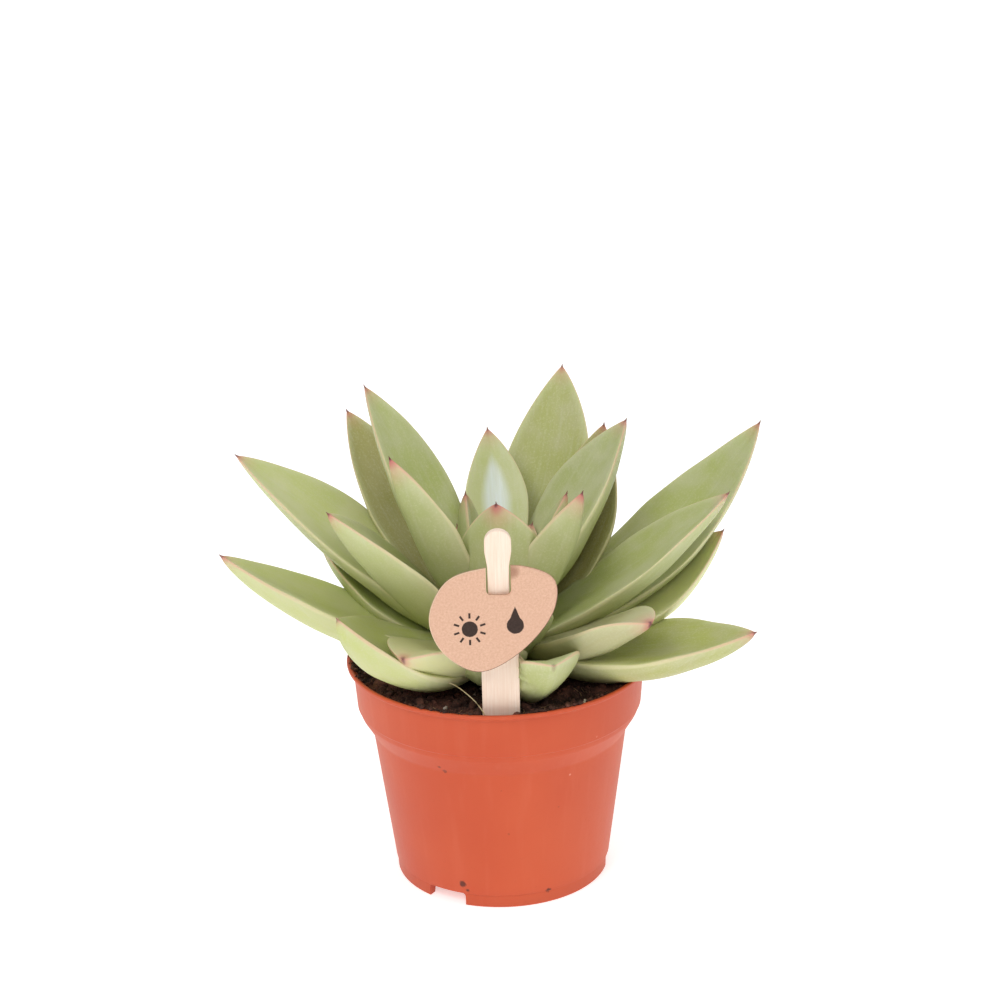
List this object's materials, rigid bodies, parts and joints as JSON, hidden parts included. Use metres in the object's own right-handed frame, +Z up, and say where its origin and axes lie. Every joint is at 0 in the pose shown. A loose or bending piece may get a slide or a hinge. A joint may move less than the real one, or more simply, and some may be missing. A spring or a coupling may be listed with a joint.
{
  "type": "potted miranda echeveria",
  "caption": "Rosette of thick pointed pale green succulent leaves with pinkish edges, growing in a terracotta-coloured plastic nursery pot with a round card tag on a wooden pick.",
  "frame": {"origin": "centre of the pot's underside, on the plane that the pot stands on", "axes": "+Z up through the middle of the pot, -Y towards the front, where the tag stands, +X to the viewer's right"},
  "size_m": [0.1576, 0.123, 0.145],
  "materials": {
    "terracotta_plastic": "satin moulded plastic, a few scuffs",
    "peat_soil": "dry crumbly peat with perlite",
    "stem_tissue": "matte plant skin",
    "leaf_skin": "waxy plant skin with a pale bloom",
    "pale_wood": "unvarnished birch",
    "kraft_card": "uncoated card with a dark print"
  },
  "bodies": {
    "root": {"pot": "terracotta_plastic", "soil": "peat_soil", "stem": "stem_tissue", "pick": "pale_wood", "tag": "kraft_card", "leaf_heart_01": "leaf_skin", "leaf_heart_02": "leaf_skin", "leaf_heart_03": "leaf_skin", "leaf_inner_01": "leaf_skin", "leaf_inner_02": "leaf_skin", "leaf_inner_03": "leaf_skin", "leaf_inner_04": "leaf_skin", "leaf_inner_05": "leaf_skin", "leaf_inner_06": "leaf_skin", "leaf_inner_07": "leaf_skin", "leaf_inner_08": "leaf_skin", "leaf_inner_09": "leaf_skin", "leaf_middle_01": "leaf_skin", "leaf_middle_02": "leaf_skin", "leaf_middle_03": "leaf_skin", "leaf_middle_04": "leaf_skin", "leaf_middle_05": "leaf_skin", "leaf_middle_06": "leaf_skin", "leaf_middle_07": "leaf_skin", "leaf_middle_08": "leaf_skin", "leaf_middle_09": "leaf_skin", "leaf_middle_10": "leaf_skin", "leaf_middle_11": "leaf_skin", "leaf_middle_12": "leaf_skin", "leaf_outer_01": "leaf_skin", "leaf_outer_02": "leaf_skin", "leaf_outer_03": "leaf_skin", "leaf_outer_04": "leaf_skin", "leaf_outer_05": "leaf_skin", "leaf_outer_06": "leaf_skin", "leaf_outer_07": "leaf_skin", "leaf_outer_08": "leaf_skin", "leaf_outer_09": "leaf_skin", "leaf_outer_10": "leaf_skin", "leaf_outer_11": "leaf_skin", "leaf_outer_12": "leaf_skin", "leaf_outer_13": "leaf_skin", "leaf_outer_14": "leaf_skin"}
  },
  "joints": []
}
